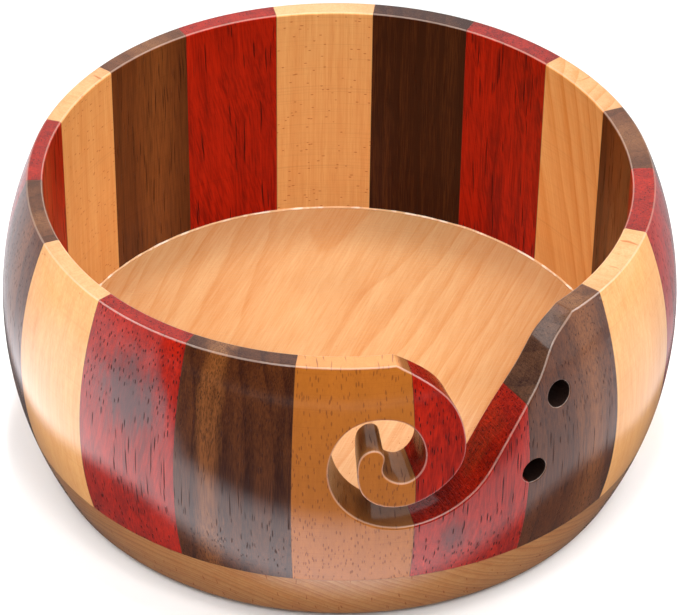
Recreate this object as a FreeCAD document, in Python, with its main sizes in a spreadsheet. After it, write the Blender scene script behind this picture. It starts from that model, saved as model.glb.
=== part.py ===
"""Yarn bowl: eighteen glued staves in three woods on a solid base disc, turned round, with a
curled yarn slot and two needle holes.  Millimetres, +Z up, origin in the middle of the foot."""
import FreeCAD, Part
import Sketcher
import math
import os

doc = FreeCAD.newDocument("yarn_bowl")

# ---------------------------------------------------------------- driving dimensions
DIMENSIONS = {
    "bowl_height": 85.0,        # foot to rim
    "base_thickness": 19.0,     # the disc that the staves stand on
    "belly_radius": 90.0,       # widest circle of the outside
    "belly_level": 46.5,        # height of the widest circle
    "belly_arc_radius": 100.0,  # curvature of the turned wall
    "foot_round": 5.0,          # rounded edge between wall and foot
    "rim_round": 0.7,           # broken edges of the rim and of the slot
    "bore_rim_radius": 77.2,    # straight inside, at the rim
    "bore_floor_radius": 76.4,  # straight inside, at the floor
    "ring_offset": -0.9,        # the glued ring and its bore sit this far off the outside's axis
    "stave_count": 18.0,
    "slot_middle": 20.0,        # degrees from the front stave's middle to the slot's middle plane
    "hole_diameter": 7.0,
    "hole_round": 0.4,
    "upper_hole_angle": 36.0,   # degrees from the front stave's middle
    "upper_hole_level": 66.5,
    "lower_hole_angle": 30.5,
    "lower_hole_level": 47.0,
    "bead_size": 1.1,           # glue squeezed out where the wall meets the floor
}

sheet = doc.addObject("Spreadsheet::Sheet", "Sizes")
for row, (alias, value) in enumerate(DIMENSIONS.items(), start=1):
    sheet.set(f"A{row}", alias)
    sheet.set(f"B{row}", str(value))
    sheet.setAlias(f"B{row}", alias)
doc.recompute()

WOODS = ("beech", "padauk", "walnut")
BACK = 90.0     # directions in degrees from +X: the middle of the first stave, at the back,
FRONT = -90.0   # and of the stave opposite, where angles round the wall start
PAST_THE_WALL = "Sizes.belly_radius * 1.2"      # radius or reach of blanks and drills

# The slot seen square on to the wall: degrees round from the front stave's middle, and height.
HOOK_OUTSIDE = [(5.0, 86.5), (9.0, 83.2), (12.6, 79.5), (16.0, 74.0), (17.9, 66.0),
                (17.6, 57.0), (13.4, 49.3), (6.5, 45.6)]
HOOK_TIP = [(1.2, 49.5), (0.0, 57.0), (0.8, 62.2), (3.0, 63.5), (4.5, 61.0), (4.1, 57.3)]
HOOK_INSIDE = [(7.0, 53.2), (10.3, 56.0), (11.2, 61.5), (9.0, 69.2)]
CURL_OUTSIDE = [(4.0, 71.4), (-1.2, 69.0), (-4.6, 59.0), (-3.9, 50.5), (-0.2, 42.8),
                (6.5, 38.9), (13.8, 41.0)]
MOUTH_SIDE = [(20.3, 48.0), (24.3, 57.0), (29.0, 66.7), (33.4, 74.8), (36.4, 80.6),
              (39.4, 83.3), (44.0, 86.5)]
SLOT_EDGE = HOOK_OUTSIDE + HOOK_TIP + HOOK_INSIDE + CURL_OUTSIDE + MOUTH_SIDE


def place_at_ring(item, level, angle_formula):
    """Put an object on the ring's axis, at a level and turned by an angle, from the sheet."""
    base = f"create(<<vector>>; Sizes.ring_offset; 0; {level})"
    turn = f"create(<<rotation>>; create(<<vector>>; 0; 0; 1); {angle_formula})"
    item.setExpression("Placement", f"create(<<placement>>; {base}; {turn})")


# ---------------------------------------------------------------- the turned outside
def turned_outside():
    """The whole outside as one turned solid: flat foot, rounded edge, belly arc, flat rim."""
    size = sheet.get
    arc_middle = FreeCAD.Vector(size("belly_radius") - size("belly_arc_radius"),
                                size("belly_level"), 0)
    reach = size("belly_arc_radius") - size("foot_round")
    foot_middle = FreeCAD.Vector(0, size("foot_round"), 0)
    foot_middle.x = arc_middle.x + math.sqrt(reach**2 - (arc_middle.y - foot_middle.y) ** 2)
    meet = math.atan2(foot_middle.y - arc_middle.y, foot_middle.x - arc_middle.x)
    top = math.asin((size("bowl_height") - arc_middle.y) / size("belly_arc_radius"))
    upright = FreeCAD.Vector(0, 0, 1)

    body = doc.addObject("PartDesign::Body", "TurnedOutside")
    profile = body.newObject("Sketcher::SketchObject", "WallProfile")
    side_plane = next(item for item in body.Origin.OriginFeatures if item.Role == "XZ_Plane")
    profile.AttachmentSupport = [(side_plane, "")]
    profile.MapMode = "FlatFace"

    foot_arc = Part.ArcOfCircle(Part.Circle(foot_middle, upright, size("foot_round")),
                                -math.pi / 2, meet)
    belly_arc = Part.ArcOfCircle(Part.Circle(arc_middle, upright, size("belly_arc_radius")),
                                 meet, top)
    centre_low = FreeCAD.Vector(0, 0, 0)
    centre_high = FreeCAD.Vector(0, size("bowl_height"), 0)
    foot = profile.addGeometry(Part.LineSegment(centre_low, foot_arc.StartPoint))
    corner = profile.addGeometry(foot_arc)
    belly = profile.addGeometry(belly_arc)
    rim = profile.addGeometry(Part.LineSegment(belly_arc.EndPoint, centre_high))
    axis = profile.addGeometry(Part.LineSegment(centre_high, centre_low))

    start, end, middle, origin = 1, 2, 3, -1
    for rule in (("Coincident", foot, start, origin, start), ("Tangent", foot, end, corner, start),
                 ("Tangent", corner, end, belly, start), ("Coincident", belly, end, rim, start),
                 ("Coincident", rim, end, axis, start), ("Coincident", axis, end, foot, start),
                 ("Horizontal", foot), ("Horizontal", rim), ("Vertical", axis)):
        profile.addConstraint(Sketcher.Constraint(*rule))
    for name, formula, value, rule in (
        ("FootRound", "Sizes.foot_round", size("foot_round"), ("Radius", corner)),
        ("BellyArc", "Sizes.belly_arc_radius", size("belly_arc_radius"), ("Radius", belly)),
        ("BellyLevel", "Sizes.belly_level", size("belly_level"),
         ("DistanceY", origin, start, belly, middle)),
        ("ArcSetback", "Sizes.belly_arc_radius - Sizes.belly_radius", -arc_middle.x,
         ("DistanceX", belly, middle, origin, start)),
        ("Height", "Sizes.bowl_height", size("bowl_height"),
         ("DistanceY", origin, start, axis, start)),
    ):
        index = profile.addConstraint(Sketcher.Constraint(*rule, value))
        profile.renameConstraint(index, name)
        profile.setExpression(f"Constraints.{name}", formula)

    turned = body.newObject("PartDesign::Revolution", "TurnedWall")
    turned.Profile = profile
    turned.ReferenceAxis = (profile, ["V_Axis"])
    turned.Angle = 360
    return body


def primitive(kind, name, placement_level=None, angle_formula="0", **formulas):
    """A Part primitive with its sizes from the sheet, on the ring's axis if given a level."""
    item = doc.addObject(kind, name)
    for size_name, formula in formulas.items():
        item.setExpression(size_name, formula)
    if placement_level is not None:
        place_at_ring(item, placement_level, angle_formula)
    return item


def combine(kind, name, base, tool):
    """A boolean of two document objects."""
    item = doc.addObject(kind, name)
    item.Base = base
    item.Tool = tool
    return item


# ---------------------------------------------------------------- the slot and the holes
def slot_cutter():
    """The slot's outline carried square through the wall, every line of it aimed at the axis."""
    middle = math.radians(FRONT + sheet.get("slot_middle"))
    outward = FreeCAD.Vector(math.cos(middle), math.sin(middle), 0)
    sideways = FreeCAD.Vector(-math.sin(middle), math.cos(middle), 0)
    outside_wall = sheet.get("belly_radius") * 1.05
    inside_wall = sheet.get("bore_floor_radius") * 0.75

    def outline_at(distance):
        points = []
        for angle, level in SLOT_EDGE:
            spread = distance * math.tan(math.radians(angle - sheet.get("slot_middle")))
            points.append(outward * distance + sideways * spread + FreeCAD.Vector(0, 0, level))
        curve = Part.BSplineCurve()
        curve.interpolate(points)
        lid = Part.LineSegment(points[-1], points[0])
        return Part.Wire([curve.toShape(), lid.toShape()])

    cutter = doc.addObject("Part::Feature", "SlotCutter")
    cutter.Shape = Part.makeLoft([outline_at(outside_wall), outline_at(inside_wall)], True, True)
    return cutter


def hole_drill(name, angle_cell, level_cell):
    """A drill lying level and aimed at the axis."""
    drill = primitive("Part::Cylinder", name, Radius="Sizes.hole_diameter / 2",
                      Height=PAST_THE_WALL)
    laid_level = "create(<<rotation>>; create(<<vector>>; 0; 1; 0); 90)"
    turn = f"create(<<rotation>>; create(<<vector>>; 0; 0; 1); {FRONT} + Sizes.{angle_cell})"
    at = f"create(<<vector>>; 0; 0; Sizes.{level_cell})"
    drill.setExpression("Placement", f"create(<<placement>>; {at}; {turn} * {laid_level})")
    return drill


def round_edges(name, base, chosen):
    """Fillet the edges of base for which chosen(edge) gives a radius."""
    rounded = doc.addObject("Part::Fillet", name)
    rounded.Base = base
    picks = []
    for number, edge in enumerate(base.Shape.Edges, start=1):
        radius = chosen(edge)
        if radius:
            picks.append((number, radius, radius))
    rounded.Edges = picks
    return rounded


def edge_radius(edge):
    """How much to round an edge of the carved ring, or None for one that stays as it is."""
    size = sheet.get
    box = edge.BoundBox
    on_glued_face = box.ZMin < size("base_thickness") + 0.01
    straight_seam = isinstance(edge.Curve, Part.Line)
    if on_glued_face or straight_seam:
        return None
    on_rim = box.ZMax > size("bowl_height") - 1
    as_low_as_a_hole = box.ZMax - box.ZMin < size("hole_diameter") * 1.1
    return size("hole_round") if as_low_as_a_hole and not on_rim else size("rim_round")


# ---------------------------------------------------------------- the ring, whole
outside = turned_outside()
above_base = primitive("Part::Cylinder", "AboveBase", "Sizes.base_thickness",
                       Radius=PAST_THE_WALL, Height="Sizes.bowl_height")
staves_blank = combine("Part::Common", "StavesBlank", outside, above_base)
bore = primitive("Part::Cone", "Bore", "Sizes.base_thickness",
                 Radius1="Sizes.bore_floor_radius", Radius2="Sizes.bore_rim_radius",
                 Height="Sizes.bowl_height - Sizes.base_thickness")
bored = combine("Part::Cut", "BoredRing", staves_blank, bore)
slotted = combine("Part::Cut", "SlottedRing", bored, slot_cutter())
upper_drill = hole_drill("UpperDrill", "upper_hole_angle", "upper_hole_level")
lower_drill = hole_drill("LowerDrill", "lower_hole_angle", "lower_hole_level")
one_hole = combine("Part::Cut", "OneHoleRing", slotted, upper_drill)
drilled = combine("Part::Cut", "DrilledRing", one_hole, lower_drill)
doc.recompute()
carved = round_edges("CarvedRing", drilled, edge_radius)
doc.recompute()


# ---------------------------------------------------------------- the pieces
def stave(number):
    """One stave: the carved ring's share of the circle, glued to its neighbours."""
    wood = WOODS[number % len(WOODS)]
    turn = f"{BACK} + ({number} - 0.5) * 360 / Sizes.stave_count"
    wedge = primitive("Part::Cylinder", f"Wedge{number + 1:02d}", "Sizes.base_thickness", turn,
                      Radius=PAST_THE_WALL, Angle="360 / Sizes.stave_count",
                      Height="Sizes.bowl_height - Sizes.base_thickness")
    piece = combine("Part::Common", f"Stave{number + 1:02d}", carved, wedge)
    piece.Label = f"stave_{number + 1:02d}_{wood}"
    return piece


def base_disc():
    """The solid disc under the staves; its top is the floor of the bowl."""
    blank = primitive("Part::Cylinder", "BaseBlank", Radius=PAST_THE_WALL,
                      Height="Sizes.base_thickness")
    piece = combine("Part::Common", "BaseDisc", outside, blank)
    piece.Label = "base_disc"
    return piece


def glue_bead():
    """The line of glue squeezed out where the wall meets the floor."""
    outer = primitive("Part::Cylinder", "BeadOuter", "Sizes.base_thickness",
                      Radius="Sizes.bore_floor_radius", Height="Sizes.bead_size")
    inner = primitive("Part::Cone", "BeadInner", "Sizes.base_thickness",
                      Radius1="Sizes.bore_floor_radius - Sizes.bead_size",
                      Radius2="Sizes.bore_floor_radius", Height="Sizes.bead_size")
    piece = combine("Part::Cut", "GlueBead", outer, inner)
    piece.Label = "glue_bead"
    return piece


pieces = [stave(number) for number in range(int(sheet.get("stave_count")))]
pieces += [base_disc(), glue_bead()]
doc.recompute()

# ---------------------------------------------------------------- check and write
for item in doc.Objects:
    if "Invalid" in item.State or "Error" in item.State:
        raise RuntimeError(f"{item.Label} did not recompute")
for piece in pieces:
    if piece.Shape.isNull() or not piece.Shape.isValid():
        raise RuntimeError(f"{piece.Label} has no valid shape")

os.makedirs("parts", exist_ok=True)
for piece in pieces:
    piece.Shape.exportStep(f"parts/{piece.Label}.step")
    print(f"{piece.Label}: {piece.Shape.Volume / 1000:.1f} cm3, {len(piece.Shape.Solids)} solid")
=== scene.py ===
"""A turned yarn bowl of beech, padauk and walnut staves: the woods, the glue line and the stage."""

import math

import bpy
from mathutils import Matrix, Vector


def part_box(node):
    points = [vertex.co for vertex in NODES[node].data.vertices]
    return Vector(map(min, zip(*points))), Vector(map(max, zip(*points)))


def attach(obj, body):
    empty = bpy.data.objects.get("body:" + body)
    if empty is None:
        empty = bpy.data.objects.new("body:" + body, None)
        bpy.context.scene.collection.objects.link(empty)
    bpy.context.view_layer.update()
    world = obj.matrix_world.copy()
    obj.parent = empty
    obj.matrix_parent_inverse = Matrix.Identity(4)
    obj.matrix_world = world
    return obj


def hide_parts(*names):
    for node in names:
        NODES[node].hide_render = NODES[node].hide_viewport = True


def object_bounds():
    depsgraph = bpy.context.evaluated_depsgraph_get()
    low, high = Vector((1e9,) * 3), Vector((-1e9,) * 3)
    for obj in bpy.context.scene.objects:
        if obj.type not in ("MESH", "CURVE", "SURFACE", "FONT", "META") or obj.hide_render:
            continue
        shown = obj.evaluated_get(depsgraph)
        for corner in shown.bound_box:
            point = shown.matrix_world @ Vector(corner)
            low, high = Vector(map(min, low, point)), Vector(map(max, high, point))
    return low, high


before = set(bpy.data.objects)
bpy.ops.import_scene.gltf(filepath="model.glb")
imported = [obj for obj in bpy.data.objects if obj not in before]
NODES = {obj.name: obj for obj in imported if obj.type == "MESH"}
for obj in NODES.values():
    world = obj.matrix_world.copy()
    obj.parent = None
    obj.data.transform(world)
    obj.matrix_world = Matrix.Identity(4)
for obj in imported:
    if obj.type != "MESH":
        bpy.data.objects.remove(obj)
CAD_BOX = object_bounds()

bl_info = {
    "name": "Staved yarn bowl",
    "version": (1, 0, 0),
    "blender": (4, 5, 0),
    "location": "3D View > Sidebar > Yarn Bowl",
    "description": "Wood finishes, glue line and stage for a staved yarn bowl",
    "category": "Object",
}

STAVES = sorted(name for name in NODES if name.startswith("stave_"))
STAVE_ANGLE = math.radians(360 / len(STAVES))
FLOOR_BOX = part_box("base_disc")
BEAD_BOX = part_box("glue_bead")
RING_CENTRE = (BEAD_BOX[0] + BEAD_BOX[1]) / 2
SEAM_HEIGHT = FLOOR_BOX[1].z
RIM_HEIGHT = CAD_BOX[1].z
MM = 0.001
TO_MM = (1 / MM,) * 3
HOLES = ((36.0, 66.5), (30.5, 47.0))  # degrees right of the front, millimetres up
HOLE_RADIUS = 3.5
WOOD_SHIFT = Vector((37.0, 91.0, 53.0))  # millimetres from one stave's wood to the next one's

# Tones laid over the woods and the glue, and the sheet's own, as linear colours.
# Painted shade for the insides of the needle holes.
HOLE_SHADE_PAINT = (0.010, 0.005, 0.004, 1.0)
JOINT_DARK = (0.05, 0.015, 0.008, 1.0)
# A painted highlight for the rounded edges of the rim, the slot and the holes.
EDGE_HIGHLIGHT_PAINT = (0.80, 0.62, 0.52, 1.0)
SMOKE_GREY = (0.045, 0.028, 0.030, 1.0)
GLUE_STAIN = (0.62, 0.36, 0.19, 1.0)
SHEET_WHITE = (1.0, 0.94, 0.97, 1.0)

# Factors that a wood's colour is multiplied by.
SCORED = (0.62, 0.55, 0.5)
BASE_SIDE = (0.99, 0.86, 0.64)
BASE_SIDE_RINGS = (0.58, 0.44, 0.34)
FLECK_GAIN = 2.0
# Gains for the front stave's painted shade.
FRONT_SHADE_FLECK_GAIN = 0.75
FRONT_SHADE_WARM_GAIN = 0.72

# The spots: name, place and target in metres, then the share of the pool lights' power.
SPOTS = (
    ("light_pool", (0.0, 0.0, 1.0), (0, 0, 0), 0.49),
    ("light_pool_front", (0.0, -0.3, 0.95), (0, 0, 0.03), 0.18),
    ("light_pool_back", (0.0, 0.3, 0.95), (0, 0, 0.03), 0.33),
)
SPOT_RADIUS = 0.10
SPOT_ANGLE = math.radians(18)
SPOT_BLEND = 0.6


# ---------------------------------------------------------------- settings


def colour(title, text, value):
    return bpy.props.FloatVectorProperty(
        name=title, description=text, subtype="COLOR", size=3, min=0, max=1, default=value
    )


def length(title, text, value, low=0.0, high=10.0):
    return bpy.props.FloatProperty(
        name=title, description=text, subtype="DISTANCE", unit="LENGTH", min=low, max=high,
        precision=5, default=value,
    )


def turn(title, text, degrees):
    return bpy.props.FloatProperty(
        name=title, description=text, subtype="ANGLE", default=math.radians(degrees)
    )


def amount(title, text, value, low=0.0, high=1.0):
    return bpy.props.FloatProperty(
        name=title, description=text, subtype="FACTOR", min=low, max=high, default=value
    )


def power(title, text, value):
    return bpy.props.FloatProperty(
        name=title, description=text, unit="POWER", min=0, max=500, default=value
    )


class WoodColours(bpy.types.PropertyGroup):
    beech_pale: colour("Beech, pale", "Early wood of the beech staves", (0.78, 0.415, 0.148))
    beech_warm: colour("Beech, warm", "Late wood of the beech staves", (0.62, 0.225, 0.048))
    # Painted shade: a darker, deeper copy of the beech for the front stave, whose outside lies in
    # shade.
    beech_front_shade: colour("Beech, amber", "The deeper beech of the front stave", (0.42, 0.125, 0.014))
    beech_floor: colour("Beech, floor", "The paler beech of the floor", (0.93, 0.57, 0.27))
    beech_grain: colour("Beech, floor grain", "Grain lines of the floor", (0.72, 0.29, 0.09))
    beech_fleck: colour("Beech fleck", "Short brown rays in the beech", (0.22, 0.055, 0.010))
    padauk_bright: colour("Padauk, bright", "Light streaks of the padauk", (0.50, 0.013, 0.001))
    padauk_deep: colour("Padauk, deep", "Dark streaks of the padauk", (0.17, 0.003, 0.0006))
    padauk_pore: colour("Padauk pore", "Open pores of the padauk", (0.030, 0.002, 0.0015))
    walnut_brown: colour("Walnut, brown", "Middle tone of the walnut", (0.138, 0.037, 0.008))
    walnut_dark: colour("Walnut, dark", "Dark veins of the walnut", (0.030, 0.0065, 0.002))
    walnut_gold: colour("Walnut, gold", "Golden bands of the walnut", (0.32, 0.105, 0.022))
    glue: colour("Glue", "Dried glue squeezed out of the floor joint", (0.80, 0.66, 0.54))


class FinishSettings(bpy.types.PropertyGroup):
    lacquer_gloss: amount("Lacquer roughness", "Roughness of the satin lacquer", 0.34)
    lacquer_shine: amount("Lacquer shine", "Strength of the lacquer's own reflections", 0.08)
    coat_outside: amount("Coat outside", "Clear coat on the outside", 0.88)
    coat_inside: amount("Coat inside", "Clear coat on the inside", 0.12)
    coat_gloss: amount("Coat roughness", "Roughness of the clear coat", 0.10)
    relief: length("Relief", "Depth of pores and turning marks", 0.07 * MM, 0, MM)
    joint_width: length("Joint width", "Width of the dark line at a glued joint", 0.16 * MM, 0, MM)


class StageSettings(bpy.types.PropertyGroup):
    floor_size: length("Floor size", "Side of the square floor", 12.0, 1.0, 50.0)
    floor_colour: colour("Floor colour", "The pale table top", (0.93, 0.93, 0.93))
    azimuth: turn("Camera azimuth", "Direction that the camera looks from", -3.14)
    elevation: turn("Camera elevation", "Height of the camera above the horizon", 35.45)
    tilt: turn("Camera tilt", "Turn of the camera down from the rim's centre", -1.909)
    roll: turn("Camera roll", "Turn of the camera about its view", 0.69)
    distance: length("Camera distance", "From the rim's centre to the camera", 1.051, 0.1, 10)
    lens: bpy.props.FloatProperty(
        name="Lens", description="Focal length on a 36 mm sensor", subtype="DISTANCE_CAMERA",
        min=20, max=400, default=212.46,
    )
    pool_light: power("Pool lights", "Power of the spots over the bowl", 62.0)
    back_light: power("Back light", "Power of the light behind", 8.0)
    front_light: power("Front light", "Power of the high light in front", 10.0)
    side_light: power("Side lights", "Power of each low light at the sides", 0.09)
    high_light: power("High side lights", "Power of the high lights at the sides", 7.4)
    card_light: bpy.props.FloatProperty(
        name="Sheet glow", description="Brightness of the white sheet seen in the lacquer",
        min=0, max=20, default=2.05,
    )
    surround: amount("Surround", "Brightness of the room around the stage", 0.04)


# ------------------------------------------------------------ node building


def put(tree, kind, sockets=None, **settings):
    """A shader node with its own settings, and its sockets linked or set."""
    made = tree.nodes.new("ShaderNode" + kind)
    for key, value in settings.items():
        setattr(made, key, value)
    for key, value in (sockets or {}).items():
        if isinstance(value, bpy.types.NodeSocket):
            tree.links.new(value, made.inputs[key])
        else:
            made.inputs[key].default_value = value
    return made


def calc(tree, operation, *values, clamp=False):
    made = put(tree, "Math", dict(enumerate(values)), operation=operation, use_clamp=clamp)
    return made.outputs[0]


def along(tree, operation, *values):
    made = put(tree, "VectorMath", dict(enumerate(values)), operation=operation)
    return made.outputs["Value" if operation in ("LENGTH", "DOT_PRODUCT") else "Vector"]


def fade(tree, value, low, high, to_low=0.0, to_high=1.0):
    """0 to 1, or to_low to to_high, as the value goes from low to high."""
    made = put(
        tree, "MapRange",
        {"Value": value, "From Min": low, "From Max": high, "To Min": to_low, "To Max": to_high},
        interpolation_type="SMOOTHSTEP",
    )
    return made.outputs["Result"]


def tint(tree, factor, first, second, mode="MIX"):
    made = put(
        tree, "Mix", {0: factor, 6: first, 7: second},
        data_type="RGBA", blend_type=mode, clamp_factor=True,
    )
    return made.outputs[2]


def dye(tree, colour, factors):
    """A colour multiplied by one factor for each of its channels."""
    return tint(tree, 1.0, colour, opaque(factors), "MULTIPLY")


def blank_material(name):
    """A material and its empty node tree."""
    material = bpy.data.materials.new(name)
    material.use_nodes = True
    material.node_tree.nodes.clear()
    return material, material.node_tree


def set_surface(tree, shader):
    output = put(tree, "OutputMaterial")
    tree.links.new(shader.outputs[0], output.inputs["Surface"])


def opaque(value, gain=1.0):
    return (*(gain * part for part in value), 1.0)


def new_group(name, inputs, outputs):
    """A shader node group with named sockets, its inputs by name, and its output node."""
    tree = bpy.data.node_groups.new(name, "ShaderNodeTree")
    for title, kind, value in inputs:
        socket = tree.interface.new_socket(
            name=title, in_out="INPUT", socket_type="NodeSocket" + kind
        )
        if value is not None:
            socket.default_value = value
    for title, kind in outputs:
        tree.interface.new_socket(name=title, in_out="OUTPUT", socket_type="NodeSocket" + kind)
    inside = tree.nodes.new("NodeGroupInput")
    return tree, {s.name: s for s in inside.outputs if s.name}, tree.nodes.new("NodeGroupOutput")


def use(tree, name, **sockets):
    """A node group placed in a tree; an underscore in a name stands for a space."""
    made = tree.nodes.new("ShaderNodeGroup")
    made.node_tree = bpy.data.node_groups[name]
    for key, value in sockets.items():
        socket = made.inputs[key.replace("_", " ")]
        if isinstance(value, bpy.types.NodeSocket):
            tree.links.new(value, socket)
        else:
            socket.default_value = value
    return made.outputs


def make_streaks():
    """Long soft streaks that run up the grain."""
    tree, given, out = new_group(
        "Streaks",
        [("Place", "Vector", None), ("Width", "Float", 1.0), ("Length", "Float", 40.0),
         ("Contrast", "Float", 0.5)],
        [("Value", "Float")],
    )
    size = put(tree, "CombineXYZ", {0: given["Width"], 1: given["Width"], 2: given["Length"]})
    spot = along(tree, "DIVIDE", given["Place"], size.outputs[0])
    noise = put(
        tree, "TexNoise", {"Vector": spot, "Scale": 1.0, "Detail": 3.0, "Roughness": 0.6}
    ).outputs[0]
    half = calc(tree, "MULTIPLY_ADD", given["Contrast"], -0.45, 0.5)
    low = calc(tree, "SUBTRACT", 0.5, half)
    high = calc(tree, "ADD", 0.5, half)
    tree.links.new(fade(tree, noise, low, high), out.inputs["Value"])


def make_pores():
    """Thin spindles in cells of a given size, in millimetres across, along and up the stave."""
    tree, given, out = new_group(
        "Pores",
        [("Place", "Vector", None), ("Cell", "Vector", (0.7, 0.7, 40.0)),
         ("Thickness", "Float", 0.28), ("Share", "Float", 1.0), ("Stray", "Float", 0.6)],
        [("Mask", "Float")],
    )
    wander = put(
        tree, "TexNoise",
        {"Vector": along(tree, "DIVIDE", given["Place"], (6.0, 6.0, 20.0)), "Scale": 1.0,
         "Detail": 1.0},
    ).outputs["Color"]
    wander = along(tree, "MULTIPLY", along(tree, "SUBTRACT", wander, (0.5, 0.5, 0.5)),
                   (2.0, 2.0, 0.0))
    scaled = put(tree, "VectorMath", {0: wander, "Scale": given["Stray"]}, operation="SCALE")
    spot = along(
        tree, "DIVIDE", along(tree, "ADD", given["Place"], scaled.outputs[0]), given["Cell"]
    )
    cells = put(tree, "TexVoronoi", {"Vector": spot, "Scale": 1.0})
    near = fade(
        tree, cells.outputs["Distance"], calc(tree, "MULTIPLY", given["Thickness"], 0.6),
        given["Thickness"], 1.0, 0.0,
    )
    pick = put(tree, "SeparateColor", {0: cells.outputs["Color"]}).outputs[0]
    chosen = calc(tree, "LESS_THAN", pick, given["Share"])
    tree.links.new(calc(tree, "MULTIPLY", near, chosen), out.inputs["Mask"])


def make_rings():
    """Growth rings about a pith that stands beside the piece."""
    tree, given, out = new_group(
        "Growth rings",
        [("Place", "Vector", None), ("Pith", "Vector", (120.0, 60.0, 0.0)),
         ("Width", "Float", 3.0), ("Wobble", "Float", 2.0)],
        [("Late", "Float"), ("Tone", "Float")],
    )
    wander = put(
        tree, "TexNoise",
        {"Vector": along(tree, "DIVIDE", given["Place"], (24.0, 24.0, 60.0)), "Scale": 1.0,
         "Detail": 2.0},
    ).outputs["Color"]
    wander = along(tree, "SUBTRACT", wander, (0.5, 0.5, 0.5))
    scaled = put(tree, "VectorMath", {0: wander, "Scale": given["Wobble"]}, operation="SCALE")
    spot = along(tree, "SUBTRACT", along(tree, "ADD", given["Place"], scaled.outputs[0]),
                 given["Pith"])
    reach = along(tree, "LENGTH", along(tree, "MULTIPLY", spot, (1.0, 1.0, 0.0)))
    count = calc(tree, "DIVIDE", reach, given["Width"])
    uneven = put(
        tree, "TexNoise", {"W": calc(tree, "MULTIPLY", count, 0.43), "Scale": 1.0, "Detail": 1.0},
        noise_dimensions="1D",
    ).outputs[0]
    count = calc(tree, "MULTIPLY_ADD", uneven, 1.6, count)
    part = calc(tree, "FRACT", count)
    rise = calc(tree, "POWER", part, 2.2)
    drop = fade(tree, part, 0.93, 1.0, 1.0, 0.0)
    tree.links.new(calc(tree, "MULTIPLY", rise, drop), out.inputs["Late"])
    each = put(
        tree, "TexWhiteNoise", {"W": calc(tree, "FLOOR", count)}, noise_dimensions="1D"
    ).outputs["Value"]
    tree.links.new(each, out.inputs["Tone"])


def make_turning():
    """Fine rings that the gouge and the sandpaper leave round the bowl."""
    tree, given, out = new_group(
        "Turning marks", [("Place", "Vector", None)], [("Height", "Float")]
    )
    fine = put(
        tree, "TexNoise",
        {"Vector": along(tree, "DIVIDE", given["Place"], (45.0, 45.0, 0.45)), "Scale": 1.0,
         "Detail": 2.0, "Roughness": 0.6},
    ).outputs[0]
    tree.links.new(fine, out.inputs["Height"])


def make_torn_grain():
    """Short ripples where a cutter has gone across the fibres."""
    tree, given, out = new_group("Torn grain", [("Place", "Vector", None)], [("Height", "Float")])
    short = put(
        tree, "TexNoise",
        {"Vector": along(tree, "DIVIDE", given["Place"], (3.2, 0.9, 0.5)), "Scale": 1.0,
         "Detail": 2.5, "Roughness": 0.6, "Distortion": 0.5},
    ).outputs[0]
    tree.links.new(fade(tree, short, 0.3, 0.7), out.inputs["Height"])


def make_facing():
    """Which way the wood faces: out, up, or across the grain where the wall is cut through; and the
    rounded edges, which get a painted highlight.
    """
    tree, given, out = new_group(
        "Facing",
        [("Place", "Vector", None), ("Normal", "Vector", None), ("Rim", "Float", RIM_HEIGHT)],
        [("Cut", "Float"), ("Up", "Float"), ("Out", "Float"), ("Rim", "Float"), ("Highlight", "Float")],
    )
    flat = along(tree, "MULTIPLY", given["Place"], (1.0, 1.0, 0.0))
    outward = along(tree, "DOT_PRODUCT", given["Normal"], along(tree, "NORMALIZE", flat))
    across = calc(tree, "ABSOLUTE", outward)
    tree.links.new(fade(tree, across, 0.35, 0.75, 1.0, 0.0), out.inputs["Cut"])
    # The rounded edges, between facing out and facing across: where a highlight is painted.
    edge = calc(tree, "MULTIPLY", fade(tree, across, 0.2, 0.45), fade(tree, across, 0.9, 0.8))
    tree.links.new(edge, out.inputs["Highlight"])
    up = put(tree, "SeparateXYZ", {0: given["Normal"]}).outputs[2]
    up = fade(tree, up, 0.6, 0.9)
    tree.links.new(up, out.inputs["Up"])
    tree.links.new(fade(tree, outward, 0.1, 0.5), out.inputs["Out"])
    height = put(tree, "SeparateXYZ", {0: given["Place"]}).outputs[2]
    drop = calc(tree, "SUBTRACT", given["Rim"], height)
    near = fade(tree, drop, 0.2 * MM, 1.2 * MM, 1.0, 0.0)
    tree.links.new(calc(tree, "MULTIPLY", near, up), out.inputs["Rim"])


def make_hole_shade_mask():
    """Painted shade inside the two needle holes, which run out from the bowl's axis."""
    tree, given, out = new_group("Needle holes", [("Place", "Vector", None)], [("Inside", "Float")])
    place = along(tree, "MULTIPLY", given["Place"], TO_MM)
    inside = 0.0
    for angle, level in HOLES:
        off = put(
            tree, "Mapping",
            {"Vector": along(tree, "SUBTRACT", place, (0.0, 0.0, level)),
             "Rotation": (0, 0, math.radians(90 - angle))},
        ).outputs[0]
        reach = along(tree, "LENGTH", along(tree, "MULTIPLY", off, (0.0, 1.0, 1.0)))
        near = fade(tree, reach, HOLE_RADIUS + 0.1, HOLE_RADIUS + 0.5, 0.95, 0.0)
        inside = calc(tree, "MAXIMUM", near, inside)
    tree.links.new(inside, out.inputs["Inside"])


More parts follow.
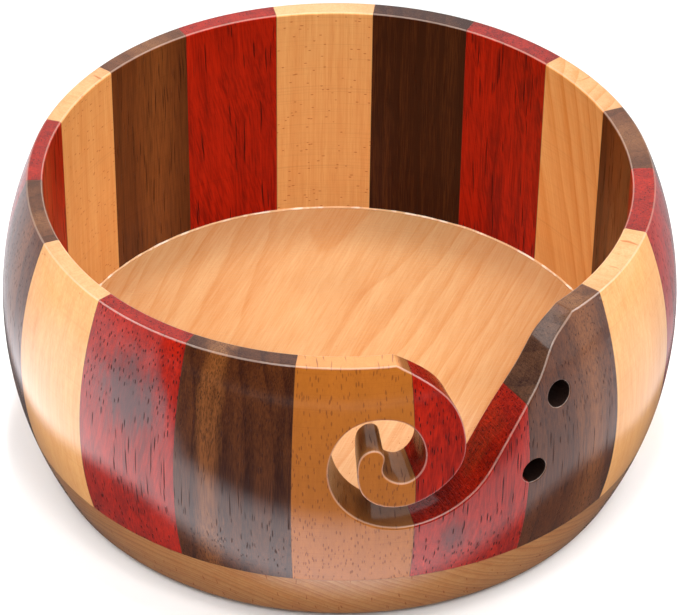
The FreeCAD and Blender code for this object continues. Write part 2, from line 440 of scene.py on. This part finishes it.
def make_joints():
    """A thin line at the sides and at the foot of a stave."""
    tree, given, out = new_group(
        "Joint lines",
        [("Place", "Vector", None), ("Half Angle", "Float", 0.17), ("Seam", "Float", 19.0),
         ("Width", "Float", 0.16)],
        [("Line", "Float")],
    )
    axes = put(tree, "SeparateXYZ", {0: given["Place"]}).outputs
    reach = calc(tree, "MULTIPLY", calc(tree, "SINE", given["Half Angle"]), axes[0])
    side = calc(
        tree, "MULTIPLY", calc(tree, "COSINE", given["Half Angle"]),
        calc(tree, "ABSOLUTE", axes[1]),
    )
    gap = calc(tree, "SUBTRACT", reach, side)
    foot = calc(tree, "ABSOLUTE", calc(tree, "SUBTRACT", axes[2], given["Seam"]))
    nearest = calc(tree, "MINIMUM", gap, foot)
    core = calc(tree, "MULTIPLY", given["Width"], 0.3)
    line = fade(tree, nearest, core, given["Width"], 1.0, 0.0)
    tree.links.new(line, out.inputs["Line"])


def make_beech():
    tree, given, out = new_group(
        "Beech",
        [("Place", "Vector", None), ("Pale", "Color", (1, 1, 1, 1)),
         ("Warm", "Color", (1, 1, 1, 1)), ("Fleck", "Color", (1, 1, 1, 1)),
         ("Flecks", "Float", 0.3), ("Fleck Cell", "Vector", (14.0, 0.9, 3.6)),
         ("Fleck Size", "Float", 0.22), ("Figure", "Float", 0.4),
         ("Pith", "Vector", (90, 60, 0)), ("Ring Width", "Float", 3.5),
         ("Depth", "Float", 0.0)],
        [("Color", "Color"), ("Pore", "Float")],
    )
    place = given["Place"]
    fine = use(tree, "Streaks", Place=place, Width=0.45, Length=16.0, Contrast=0.5)["Value"]
    middle = use(tree, "Streaks", Place=place, Width=1.8, Length=45.0, Contrast=0.5)["Value"]
    broad = use(tree, "Streaks", Place=place, Width=5.5, Length=90.0, Contrast=0.5)["Value"]
    rings = use(
        tree, "Growth rings", Place=place, Pith=given["Pith"], Width=given["Ring Width"],
        Wobble=5.0,
    )
    tone = calc(tree, "MULTIPLY_ADD", fine, 0.34, given["Depth"])
    tone = calc(tree, "MULTIPLY_ADD", middle, 0.22, tone)
    tone = calc(tree, "MULTIPLY_ADD", broad, 0.26, tone)
    ring = calc(tree, "MULTIPLY_ADD", rings["Tone"], 0.25, rings["Late"])
    tone = calc(tree, "MULTIPLY_ADD", ring, given["Figure"], tone, clamp=True)
    wood = tint(tree, tone, given["Pale"], given["Warm"])
    small = use(
        tree, "Pores", Place=place, Cell=(0.38, 0.38, 9.0), Thickness=0.3, Share=0.7
    )["Mask"]
    wood = tint(tree, calc(tree, "MULTIPLY", small, 0.14), wood, given["Fleck"])
    rays = use(
        tree, "Pores", Place=place, Cell=given["Fleck Cell"], Thickness=given["Fleck Size"],
        Share=given["Flecks"], Stray=1.2,
    )["Mask"]
    wood = tint(tree, calc(tree, "MULTIPLY", rays, 0.72), wood, given["Fleck"])
    tree.links.new(wood, out.inputs["Color"])
    small, rays = calc(tree, "MULTIPLY", small, 0.3), calc(tree, "MULTIPLY", rays, 0.5)
    tree.links.new(calc(tree, "MAXIMUM", small, rays), out.inputs["Pore"])


def make_padauk():
    tree, given, out = new_group(
        "Padauk",
        [("Place", "Vector", None), ("Bright", "Color", (1, 1, 1, 1)),
         ("Deep", "Color", (1, 1, 1, 1)), ("Pore Colour", "Color", (1, 1, 1, 1)),
         ("Pores", "Float", 0.8), ("Depth", "Float", 0.0), ("Smoke", "Float", 0.0),
         ("Smoke Place", "Vector", (0, 0, 0)), ("Smoke Size", "Vector", (400, 12, 14))],
        [("Color", "Color"), ("Pore", "Float")],
    )
    place = given["Place"]
    crossed = put(
        tree, "Mapping", {"Vector": place, "Rotation": (math.radians(11), math.radians(4), 0)}
    ).outputs[0]
    upright = use(tree, "Streaks", Place=place, Width=0.42, Length=11.0, Contrast=0.75)["Value"]
    slanted = use(tree, "Streaks", Place=crossed, Width=0.55, Length=14.0, Contrast=0.8)["Value"]
    patch = use(tree, "Streaks", Place=place, Width=7.0, Length=22.0, Contrast=0.8)["Value"]
    fine = put(tree, "Mix", {0: patch, 2: upright, 3: slanted}, data_type="FLOAT").outputs[0]
    middle = use(tree, "Streaks", Place=place, Width=1.7, Length=34.0, Contrast=0.65)["Value"]
    broad = use(tree, "Streaks", Place=place, Width=6.0, Length=80.0, Contrast=0.6)["Value"]
    tone = calc(tree, "MULTIPLY_ADD", fine, 0.50, given["Depth"])
    tone = calc(tree, "MULTIPLY_ADD", middle, 0.32, tone)
    tone = calc(tree, "MULTIPLY_ADD", broad, 0.34, tone, clamp=True)
    wood = tint(tree, tone, given["Bright"], given["Deep"])
    off = along(tree, "SUBTRACT", place, given["Smoke Place"])
    reach = along(tree, "LENGTH", along(tree, "DIVIDE", off, given["Smoke Size"]))
    reach = calc(tree, "MULTIPLY_ADD", middle, 0.5, reach)
    smoke = calc(tree, "MULTIPLY", fade(tree, reach, 1.3, 0.4), given["Smoke"])
    wood = tint(tree, smoke, wood, SMOKE_GREY)
    pores = use(
        tree, "Pores", Place=place, Cell=(0.72, 0.72, 34.0), Thickness=0.27,
        Share=given["Pores"], Stray=0.8,
    )["Mask"]
    wood = tint(tree, calc(tree, "MULTIPLY", pores, 0.9), wood, given["Pore Colour"])
    tree.links.new(wood, out.inputs["Color"])
    tree.links.new(pores, out.inputs["Pore"])


def make_walnut():
    tree, given, out = new_group(
        "Walnut",
        [("Place", "Vector", None), ("Brown", "Color", (1, 1, 1, 1)),
         ("Dark", "Color", (1, 1, 1, 1)), ("Gold", "Color", (1, 1, 1, 1)),
         ("Golden", "Float", 0.3), ("Band", "Float", 0.0), ("Band Width", "Float", 4.0),
         ("Depth", "Float", 0.0), ("Pith", "Vector", (90, 60, 0)), ("Ring Width", "Float", 6.0)],
        [("Color", "Color"), ("Pore", "Float")],
    )
    place = given["Place"]
    fine = use(tree, "Streaks", Place=place, Width=0.32, Length=9.0, Contrast=0.75)["Value"]
    middle = use(tree, "Streaks", Place=place, Width=1.6, Length=70.0, Contrast=0.55)["Value"]
    broad = use(tree, "Streaks", Place=place, Width=6.0, Length=160.0, Contrast=0.6)["Value"]
    rings = use(
        tree, "Growth rings", Place=place, Pith=given["Pith"], Width=given["Ring Width"],
        Wobble=6.0,
    )
    tone = calc(tree, "MULTIPLY_ADD", fine, 0.34, given["Depth"])
    tone = calc(tree, "MULTIPLY_ADD", middle, 0.26, tone)
    tone = calc(tree, "MULTIPLY_ADD", broad, 0.22, tone)
    tone = calc(tree, "MULTIPLY_ADD", rings["Late"], 0.30, tone, clamp=True)
    wood = tint(tree, tone, given["Brown"], given["Dark"])
    across = put(tree, "SeparateXYZ", {0: place}).outputs[1]
    sway = calc(tree, "MULTIPLY_ADD", broad, 5.0, -2.5)
    off = calc(tree, "SUBTRACT", across, given["Band"])
    gap = calc(tree, "ABSOLUTE", calc(tree, "ADD", off, sway))
    band = fade(tree, calc(tree, "DIVIDE", gap, given["Band Width"]), 0.0, 1.25, 1.0, 0.0)
    band = calc(tree, "MULTIPLY", band, given["Golden"])
    band = calc(tree, "MULTIPLY", band, fade(tree, fine, 1.7, 0.1))
    wood = tint(tree, band, wood, given["Gold"])
    pores = use(
        tree, "Pores", Place=place, Cell=(0.55, 0.55, 30.0), Thickness=0.27, Share=0.75,
        Stray=0.9,
    )["Mask"]
    wood = tint(tree, calc(tree, "MULTIPLY", pores, 0.8), wood, given["Dark"])
    tree.links.new(wood, out.inputs["Color"])
    tree.links.new(pores, out.inputs["Pore"])


def make_groups():
    """Every node group, made once; the woods come last, as they use the others."""
    if "Streaks" not in bpy.data.node_groups:
        for make in (
            make_streaks, make_pores, make_rings, make_turning, make_torn_grain, make_facing,
            make_hole_shade_mask, make_joints, make_beech, make_padauk, make_walnut,
        ):
            make()


# ---------------------------------------------------------------- materials


def stave_number(name):
    return int(name.split("_")[1])


def stave_frame(number):
    """Turns the bowl's space so that X runs out through the stave and Y across it."""
    angle = math.radians(90) + STAVE_ANGLE * (number - 1)
    spin = Matrix.Rotation(-angle, 3, "Z")
    return spin.to_euler(), -(spin @ (RING_CENTRE / MM * Vector((1, 1, 0))))


def stave_material(name, wood, sockets):
    """The lacquered wood of one stave; sockets are the values of its wood group."""
    finish = bpy.context.scene.bowl_finish
    number = stave_number(name)
    moved = WOOD_SHIFT * number
    material, tree = blank_material(name + "_wood")
    place = put(tree, "TexCoord").outputs["Object"]
    euler, shift = stave_frame(number)
    in_stave = put(
        tree, "Mapping",
        {"Vector": place, "Location": shift, "Rotation": euler, "Scale": TO_MM},
    ).outputs[0]
    in_wood = put(
        tree, "Mapping",
        {"Vector": in_stave, "Location": moved,
         "Rotation": (math.radians(sockets.pop("lean", 0.0)), 0, 0)},
    ).outputs[0]
    rim, end_grain = sockets.pop("rim", None), sockets.pop("end_grain", None)
    ripple, holes = sockets.pop("ripple", 1.0), sockets.pop("holes", False)
    for key in ("Pith", "Smoke_Place"):
        if key in sockets:
            sockets[key] = Vector(sockets[key]) + moved
    if "Band" in sockets:
        sockets["Band"] += moved.y
    made = use(tree, wood, Place=in_wood, **sockets)
    # The mask for the painted shade inside the needle holes.
    painted_hole_shade = use(tree, "Needle holes", Place=place)["Inside"] if holes else None
    return finish_wood(
        material, tree, place, in_stave, made, finish, rim, end_grain, ripple, painted_hole_shade
    )


def finish_wood(
    material, tree, place, in_piece, wood, finish, rim=None, end_grain=None, ripple=1.0,
    painted_hole_shade=None,
):
    """Joint lines, pores, turning marks, a painted highlight on the edges, painted shade in the
    needle holes, and lacquer over a wood's colour.
    """
    line = use(
        tree, "Joint lines", Place=in_piece, Half_Angle=STAVE_ANGLE / 2,
        Seam=SEAM_HEIGHT / MM, Width=finish.joint_width / MM,
    )["Line"]
    normal = put(tree, "NewGeometry").outputs["Normal"]
    face = use(tree, "Facing", Place=place, Normal=normal)
    base = wood["Color"]
    wall = calc(tree, "SUBTRACT", face["Cut"], face["Rim"], clamp=True)
    if end_grain:
        base = tint(tree, wall, base, dye(tree, base, end_grain))
    if rim:
        base = tint(tree, face["Rim"], base, dye(tree, base, rim))
    marks = use(tree, "Turning marks", Place=in_piece)["Height"]
    scored = calc(tree, "MULTIPLY", fade(tree, marks, 0.52, 0.72), 0.22)
    base = tint(tree, scored, base, dye(tree, base, SCORED))
    # A painted highlight along the rounded edges.
    base = tint(tree, calc(tree, "MULTIPLY", face["Highlight"], 0.2), base, EDGE_HIGHLIGHT_PAINT)
    base = tint(tree, calc(tree, "MULTIPLY", line, 0.55), base, JOINT_DARK)
    open_wood = calc(tree, "MULTIPLY_ADD", wood["Pore"], -0.9, 1.0, clamp=True)
    # Painted shade inside the needle holes, where the coat is taken away too.
    if painted_hole_shade:
        painted_hole_shade = calc(tree, "MULTIPLY", painted_hole_shade, face["Cut"])
        base = tint(tree, painted_hole_shade, base, HOLE_SHADE_PAINT)
        open_wood = calc(tree, "SUBTRACT", open_wood, painted_hole_shade, clamp=True)
    torn = use(tree, "Torn grain", Place=in_piece)["Height"]
    rough = calc(tree, "MULTIPLY_ADD", wood["Pore"], 0.3, finish.lacquer_gloss)
    rough = calc(tree, "MULTIPLY_ADD", wall, 0.12, rough, clamp=True)
    height = calc(tree, "MULTIPLY_ADD", wood["Pore"], -1.0, calc(tree, "MULTIPLY", marks, 0.22))
    height = calc(tree, "MULTIPLY_ADD", line, -0.8, height)
    height = calc(tree, "MULTIPLY_ADD", calc(tree, "MULTIPLY", torn, wall), ripple, height)
    bump = put(tree, "Bump", {"Height": height, "Strength": 1.0, "Distance": finish.relief})
    coat = fade(tree, face["Out"], 0.0, 1.0, finish.coat_inside, finish.coat_outside)
    coat = calc(tree, "MAXIMUM", coat, calc(tree, "MULTIPLY", face["Cut"], 0.5))
    shader = put(
        tree, "BsdfPrincipled",
        {"Base Color": base, "Roughness": rough, "Normal": bump.outputs[0], "IOR": 1.5,
         "Specular IOR Level": finish.lacquer_shine,
         "Coat Weight": calc(tree, "MULTIPLY", coat, open_wood),
         "Coat Roughness": finish.coat_gloss, "Coat IOR": 1.5},
    )
    set_surface(tree, shader)
    return material


def dress(node, material):
    """Gives a piece its finished material."""
    slots = node.data.materials
    slots.clear()
    slots.append(material)


def dress_staves(wood, common, ways):
    """Dresses the staves of one wood; ways has what each one changes in the common values."""
    for name in STAVES:
        if name.endswith(wood.lower()):
            values = {**common, **ways[stave_number(name)]}
            dress(NODES[name], stave_material(name, wood, values))


# ---------------------------------------------------------------- operators


class YARNBOWL_OT_beech(bpy.types.Operator):
    """Finish the beech staves"""

    bl_idname = "yarnbowl.beech"
    bl_label = "Beech Staves"

    def execute(self, context):
        make_groups()
        woods = context.scene.bowl_woods
        common = {
            "Pale": opaque(woods.beech_pale), "Warm": opaque(woods.beech_warm),
            "Fleck": opaque(woods.beech_fleck, FLECK_GAIN), "Fleck_Cell": (14.0, 2.2, 1.0),
            "Pith": (70.0, 110.0, 0.0), "rim": (0.64, 0.69, 0.92),
            "end_grain": (0.55, 0.50, 0.48),
        }
        ways = {
            # Stave 1, at the back, is made paler: painted light on its inside, which faces the
            # front.
            1: {"Flecks": 0.14, "Figure": 0.08, "Depth": -0.2},
            4: {"Flecks": 0.14, "Figure": 0.16},
            7: {"Flecks": 0.25, "Figure": 0.12, "Depth": -0.1},
            # Stave 10, at the front, takes the darker beech as painted shade; its rim factors bring
            # the top back towards pale beech.
            10: {
                "Pale": opaque(woods.beech_front_shade),
                "Warm": opaque(woods.beech_front_shade, FRONT_SHADE_WARM_GAIN),
                "Fleck": opaque(woods.beech_fleck, FRONT_SHADE_FLECK_GAIN),
                "Flecks": 1.0, "Fleck_Cell": (8.0, 0.7, 2.8), "Fleck_Size": 0.30,
                "Figure": 0.14, "rim": (1.15, 1.7, 5.0), "end_grain": (0.50, 0.60, 1.4),
            },
            13: {"Flecks": 0.20, "Figure": 0.14, "Depth": -0.1},
            16: {
                "Flecks": 0.12, "Figure": 0.50, "Pith": (60.0, 6.0, 0.0), "lean": 16.0,
                "Ring_Width": 4.5,
            },
        }
        dress_staves("Beech", common, ways)
        return {"FINISHED"}


class YARNBOWL_OT_padauk(bpy.types.Operator):
    """Finish the padauk staves"""

    bl_idname = "yarnbowl.padauk"
    bl_label = "Padauk Staves"

    def execute(self, context):
        make_groups()
        woods = context.scene.bowl_woods
        common = {
            "Bright": opaque(woods.padauk_bright), "Deep": opaque(woods.padauk_deep),
            "Pore_Colour": opaque(woods.padauk_pore), "ripple": 2.2, "rim": (0.60, 0.8, 1.6),
        }
        ways = {
            2: {"Pores": 0.7, "lean": 2.0},
            5: {"Pores": 0.7},
            8: {
                "Pores": 1.0, "Depth": 0.02, "Smoke": 0.85,
                "Smoke_Place": (90.0, 1.0, 66.0), "Smoke_Size": (400.0, 15.0, 17.0),
            },
            11: {
                "Pores": 0.9, "Depth": 0.08, "Smoke": 0.6,
                "Smoke_Place": (90.0, -5.0, 33.0), "Smoke_Size": (400.0, 6.0, 8.0),
                # Its cut faces are darker: end grain, and painted shade on the wall of the hook.
                "end_grain": (0.66, 0.9, 2.0),
            },
            14: {"Pores": 0.8},
            17: {"Pores": 0.8, "Depth": 0.12},
        }
        dress_staves("Padauk", common, ways)
        return {"FINISHED"}


class YARNBOWL_OT_walnut(bpy.types.Operator):
    """Finish the walnut staves"""

    bl_idname = "yarnbowl.walnut"
    bl_label = "Walnut Staves"

    def execute(self, context):
        make_groups()
        woods = context.scene.bowl_woods
        common = {
            "Brown": opaque(woods.walnut_brown), "Dark": opaque(woods.walnut_dark),
            "Gold": opaque(woods.walnut_gold), "Pith": (40.0, 120.0, 0.0),
            "rim": (0.80, 1.05, 1.8), "end_grain": (0.75, 0.95, 1.5),
        }
        ways = {
            3: {"Golden": 0.3, "Band": -3.0, "Band_Width": 7.0, "Depth": -0.2},
            6: {"Golden": 0.3, "Band": 4.0},
            9: {"Golden": 0.5, "Band": -6.0, "Band_Width": 4.5, "Depth": 0.22},
            12: {
                "Golden": 0.42, "Band": 6.5, "Band_Width": 6.0, "Depth": 0.06,
                # The needle holes of this stave get painted shade inside.
                "end_grain": (0.75, 1.2, 2.6), "holes": True,
            },
            15: {"Golden": 0.3, "Band": 0.0, "Band_Width": 9.0, "Depth": -0.1},
            18: {"Golden": 0.0, "Depth": 0.45},
        }
        dress_staves("Walnut", common, ways)
        return {"FINISHED"}


class YARNBOWL_OT_base(bpy.types.Operator):
    """Finish the beech base disc, whose grain lies flat"""

    bl_idname = "yarnbowl.base"
    bl_label = "Base Disc"

    def execute(self, context):
        make_groups()
        woods = context.scene.bowl_woods
        finish = context.scene.bowl_finish
        material, tree = blank_material("base_disc_wood")
        place = put(tree, "TexCoord").outputs["Object"]
        in_piece = put(tree, "Mapping", {"Vector": place, "Scale": TO_MM}).outputs[0]
        flat = Matrix.Rotation(math.radians(-88), 3, "Y")
        lay = flat @ Matrix.Rotation(math.radians(-67), 3, "Z")
        in_wood = put(
            tree, "Mapping", {"Vector": in_piece, "Rotation": lay.to_euler()}
        ).outputs[0]
        pith = (46.0, 20.0, 0.0)
        made = use(
            tree, "Beech", Place=in_wood, Pale=opaque(woods.beech_floor),
            Warm=opaque(woods.beech_grain), Fleck=opaque(woods.beech_fleck, FLECK_GAIN),
            Flecks=0.5, Fleck_Cell=(14.0, 0.9, 2.6), Figure=0.30, Pith=pith, Ring_Width=3.0,
            Depth=0.05,
        )
        normal = put(tree, "NewGeometry").outputs["Normal"]
        face = use(tree, "Facing", Place=place, Normal=normal)
        side = calc(tree, "SUBTRACT", 1.0, face["Up"])
        dim = dye(tree, made["Color"], BASE_SIDE)
        lines = use(tree, "Growth rings", Place=in_wood, Pith=pith, Width=1.7, Wobble=3.0)["Late"]
        dark = dye(tree, dim, BASE_SIDE_RINGS)
        dim = tint(tree, calc(tree, "MULTIPLY", lines, 0.75), dim, dark)
        color = tint(tree, side, made["Color"], dim)
        finish_wood(
            material, tree, place, in_piece, {"Color": color, "Pore": made["Pore"]}, finish
        )
        dress(NODES["base_disc"], material)
        return {"FINISHED"}


class YARNBOWL_OT_glue(bpy.types.Operator):
    """Model the thin uneven line of dried glue round the floor"""

    bl_idname = "yarnbowl.glue"
    bl_label = "Glue Line"

    def execute(self, context):
        radius = (BEAD_BOX[1].x - BEAD_BOX[0].x) / 2
        bpy.ops.object.select_all(action="DESELECT")
        bpy.ops.mesh.primitive_torus_add(
            align="WORLD", location=(RING_CENTRE.x, RING_CENTRE.y, BEAD_BOX[0].z + 0.1 * MM),
            major_segments=260, minor_segments=8,
            major_radius=radius - 0.3 * MM, minor_radius=0.33 * MM,
        )
        bead = context.object
        bead.name = bead.data.name = "glue_line"
        bpy.ops.object.transform_apply(location=True, rotation=True, scale=True)
        bpy.ops.object.mode_set(mode="EDIT")
        bpy.ops.mesh.select_all(action="SELECT")
        bpy.ops.transform.vertex_random(offset=0.12 * MM, uniform=0.4, normal=0.6, seed=7)
        bpy.ops.mesh.vertices_smooth(factor=0.5, repeat=2)
        bpy.ops.mesh.normals_make_consistent(inside=False)
        bpy.ops.object.mode_set(mode="OBJECT")
        bpy.ops.object.shade_smooth_by_angle(angle=math.radians(60))
        material, tree = blank_material("dried_glue")
        place = put(tree, "TexCoord").outputs["Object"]
        grime = put(tree, "TexNoise", {"Vector": place, "Scale": 260.0, "Detail": 3.0}).outputs[0]
        glue = opaque(context.scene.bowl_woods.glue)
        tone = tint(tree, fade(tree, grime, 0.40, 0.56), glue, GLUE_STAIN)
        bump = put(tree, "Bump", {"Height": grime, "Distance": 0.1 * MM})
        shader = put(
            tree, "BsdfPrincipled",
            {"Base Color": tone, "Roughness": 0.45, "Normal": bump.outputs[0]},
        )
        set_surface(tree, shader)
        dress(bead, material)
        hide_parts("glue_bead")
        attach(bead, "root")
        return {"FINISHED"}


class YARNBOWL_OT_stage(bpy.types.Operator):
    """Set the floor, the soft lights, the surround and the camera"""

    bl_idname = "yarnbowl.stage"
    bl_label = "Stage"

    def execute(self, context):
        stage = context.scene.bowl_stage
        bpy.ops.object.select_all(action="DESELECT")
        self.floor(context, stage)
        self.surround(context, stage)
        self.lights(stage)
        self.card(stage)
        self.camera(context, stage)
        context.scene.view_settings.view_transform = "Standard"
        return {"FINISHED"}

    def floor(self, context, stage):
        bpy.ops.mesh.primitive_plane_add(size=stage.floor_size, location=(0, 0, 0))
        floor = context.object
        floor.name = "floor"
        material = bpy.data.materials.new("pale_floor")
        material.use_nodes = True
        shader = material.node_tree.nodes["Principled BSDF"]
        shader.inputs["Base Color"].default_value = opaque(stage.floor_colour)
        shader.inputs["Roughness"].default_value = 0.6
        floor.data.materials.append(material)

    def surround(self, context, stage):
        """A dim white room that the camera sees as pale grey."""
        world = bpy.data.worlds.new("surround")
        world.use_nodes = True
        back = world.node_tree.nodes["Background"]
        back.inputs["Color"].default_value = (1, 1, 1, 1)
        back.inputs["Strength"].default_value = stage.surround
        seen = world.node_tree.nodes.new("ShaderNodeBackground")
        seen.inputs["Color"].default_value = (0.9, 0.9, 0.9, 1)
        either = world.node_tree.nodes.new("ShaderNodeMixShader")
        rays = world.node_tree.nodes.new("ShaderNodeLightPath")
        links = world.node_tree.links
        links.new(rays.outputs["Is Camera Ray"], either.inputs[0])
        links.new(back.outputs[0], either.inputs[1])
        links.new(seen.outputs[0], either.inputs[2])
        links.new(either.outputs[0], world.node_tree.nodes["World Output"].inputs["Surface"])
        context.scene.world = world

    def lights(self, stage):
        side, high = stage.side_light, stage.high_light
        for name, place, target, share in SPOTS:
            self.spot(name, place, target, share * stage.pool_light)
        self.lamp("light_back", (0.0, 1.3, 0.9), (0, 0, 0.05), 2.0, 0.9, stage.back_light)
        for name, way in (("light_left", -1), ("light_right", 1)):
            self.lamp(name, (0.36 * way, -0.02, 0.05), (0, -0.02, 0.05), 0.42, 0.10, side)
        self.lamp("light_left_high", (-0.5, 0.0, 0.6), (0, 0, 0.04), 0.4, 0.6, 0.46 * high)
        self.lamp("light_right_high", (0.5, 0.0, 0.6), (0, 0, 0.04), 0.4, 0.6, 0.60 * high)
        self.lamp("light_front", (0.0, -0.9, 1.0), (0, 0, 0.05), 1.0, 0.6, stage.front_light)

    def card(self, stage):
        """A glowing sheet just over the table, which shows only in the lacquer: a painted
        reflection of a lit table, with the bowl's shadow painted into it.
        """
        bpy.ops.mesh.primitive_plane_add(size=1.6, location=(0, 0, 0.3 * MM))
        card = bpy.context.object
        card.name = "reflection_card"
        material, tree = blank_material("reflection_card")
        place = put(tree, "TexCoord").outputs["Object"]
        right, deep, _ = put(tree, "SeparateXYZ", {0: place}).outputs
        aside = calc(tree, "ABSOLUTE", right)
        # The painted shadow of the bowl on the table: a rounded oblong, 0.22 by 0.176 m.
        reach = (calc(tree, "DIVIDE", aside, 0.110),
                 calc(tree, "DIVIDE", calc(tree, "ABSOLUTE", deep), 0.088))
        corner = calc(tree, "ADD", *(calc(tree, "POWER", part, 4.0) for part in reach))
        clear = fade(tree, corner, 0.75, 1.3)
        # The sheet's front edge falls back beyond 0.12 m to either side.
        spread = calc(tree, "MAXIMUM", calc(tree, "SUBTRACT", aside, 0.12), 0.0)
        front = fade(tree, calc(tree, "MULTIPLY_ADD", spread, 0.5, deep), -0.146, -0.116)
        # Painted falloff of the light: it is dimmer behind the bowl, to the right and far out.
        behind = fade(tree, deep, -0.02, 0.06, 1.0, 0.30)
        left = fade(tree, right, -0.03, 0.07, 1.28, 0.55)
        far = fade(tree, aside, 0.22, 0.42, 1.0, 0.3)
        glow = clear
        for part in (front, behind, left, far):
            glow = calc(tree, "MULTIPLY", glow, part)
        glow = calc(tree, "MULTIPLY_ADD", glow, stage.card_light, 0.10)
        set_surface(tree, put(tree, "Emission", {"Color": SHEET_WHITE, "Strength": glow}))
        card.data.materials.append(material)
        card.visible_camera = card.visible_diffuse = card.visible_shadow = False
        card.visible_transmission = card.visible_volume_scatter = False

    def light(self, kind, name, place, target, power):
        """A light of one kind that points from its place at the target."""
        bpy.ops.object.light_add(type=kind, location=place)
        made = bpy.context.object
        made.name = name
        made.data.energy = power
        aim = Vector(target) - Vector(place)
        made.rotation_euler = aim.to_track_quat("-Z", "Y").to_euler()
        return made

    def spot(self, name, place, target, power):
        """A spot that lights the wood but leaves no white patch in its lacquer."""
        made = self.light("SPOT", name, place, target, power)
        made.data.shadow_soft_size = SPOT_RADIUS
        made.data.spot_size, made.data.spot_blend = SPOT_ANGLE, SPOT_BLEND
        made.visible_glossy = False

    def lamp(self, name, place, target, wide, high, power):
        data = self.light("AREA", name, place, target, power).data
        data.shape = "RECTANGLE"
        data.size, data.size_y = wide, high

    def camera(self, context, stage):
        side, rise = stage.azimuth, stage.elevation
        back = Vector(
            (math.sin(side) * math.cos(rise), -math.cos(side) * math.cos(rise), math.sin(rise))
        )
        place = Vector((0, 0, RIM_HEIGHT)) + back * stage.distance
        aim = (-back).to_track_quat("-Z", "Y").to_matrix()
        aim = aim @ Matrix.Rotation(stage.tilt, 3, "X") @ Matrix.Rotation(stage.roll, 3, "Z")
        bpy.ops.object.camera_add(location=place, rotation=aim.to_euler())
        camera = context.object
        camera.name = "camera"
        camera.data.sensor_width = 36
        camera.data.lens = stage.lens
        camera.data.clip_start, camera.data.clip_end = 0.05, 50
        context.scene.camera = camera


OPERATORS = (
    YARNBOWL_OT_beech,
    YARNBOWL_OT_padauk,
    YARNBOWL_OT_walnut,
    YARNBOWL_OT_base,
    YARNBOWL_OT_glue,
    YARNBOWL_OT_stage,
)


class YARNBOWL_PT_panel(bpy.types.Panel):
    """The bowl's pieces and settings"""

    bl_idname = "YARNBOWL_PT_panel"
    bl_label = "Yarn Bowl"
    bl_space_type = "VIEW_3D"
    bl_region_type = "UI"
    bl_category = "Yarn Bowl"

    def draw(self, context):
        for operator in OPERATORS:
            self.layout.operator(operator.bl_idname)
        scene = context.scene
        for settings in (scene.bowl_woods, scene.bowl_finish, scene.bowl_stage):
            box = self.layout.box()
            for name in settings.__annotations__:
                box.prop(settings, name)


CLASSES = (WoodColours, FinishSettings, StageSettings, *OPERATORS, YARNBOWL_PT_panel)


def register():
    for made in CLASSES:
        bpy.utils.register_class(made)
    bpy.types.Scene.bowl_woods = bpy.props.PointerProperty(type=WoodColours)
    bpy.types.Scene.bowl_finish = bpy.props.PointerProperty(type=FinishSettings)
    bpy.types.Scene.bowl_stage = bpy.props.PointerProperty(type=StageSettings)


def unregister():
    del bpy.types.Scene.bowl_stage
    del bpy.types.Scene.bowl_finish
    del bpy.types.Scene.bowl_woods
    for made in reversed(CLASSES):
        bpy.utils.unregister_class(made)


def main():
    register()
    bpy.ops.yarnbowl.beech()
    bpy.ops.yarnbowl.padauk()
    bpy.ops.yarnbowl.walnut()
    bpy.ops.yarnbowl.base()
    bpy.ops.yarnbowl.glue()
    bpy.ops.yarnbowl.stage()


if __name__ == "__main__":
    main()
